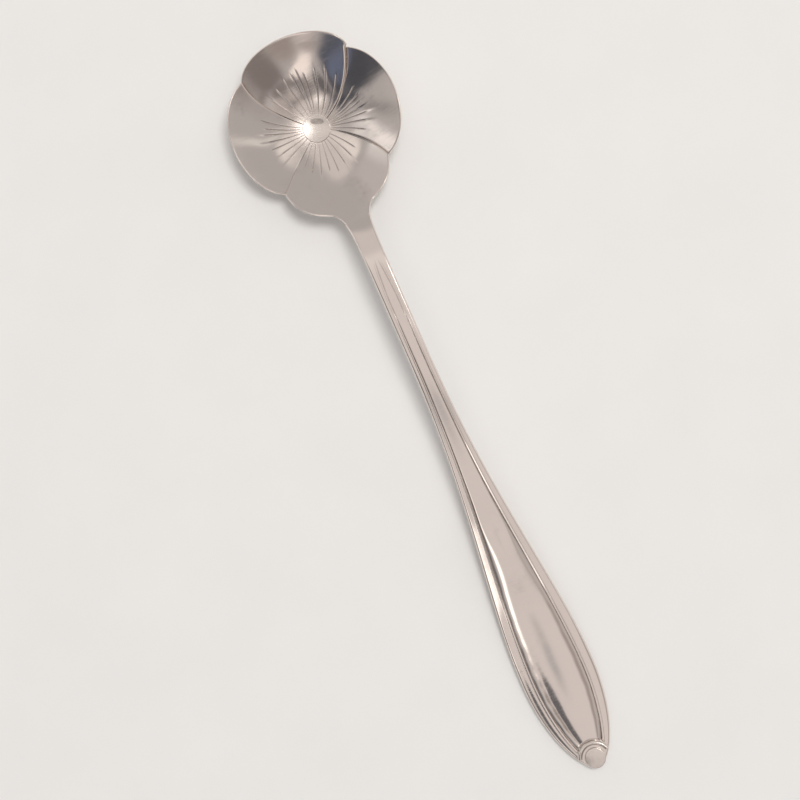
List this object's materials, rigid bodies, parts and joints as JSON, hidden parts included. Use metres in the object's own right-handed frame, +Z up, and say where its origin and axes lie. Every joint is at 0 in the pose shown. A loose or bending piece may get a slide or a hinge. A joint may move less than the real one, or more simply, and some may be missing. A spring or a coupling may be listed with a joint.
{
  "type": "sugar spoon",
  "caption": "Spoon with a round flower-shaped bowl of lapped petals round a dished centre, on a slim bordered handle that widens toward a small button at its end.",
  "frame": {"origin": "middle of the flat tail under the bowl, on the table", "axes": "+X along the handle to its end, +Y to the right petal, +Z up"},
  "size_m": [0.1396, 0.0301, 0.0113],
  "materials": {
    "silver": "polished, lightly worn",
    "trim_silver": "polished, lightly worn"
  },
  "bodies": {
    "root": {"tip_petal": "silver", "left_petal": "silver", "right_petal": "silver", "heel_petal": "silver", "handle": "silver", "flower_centre": "trim_silver", "end_button": "trim_silver", "end_collar": "trim_silver"}
  },
  "joints": []
}
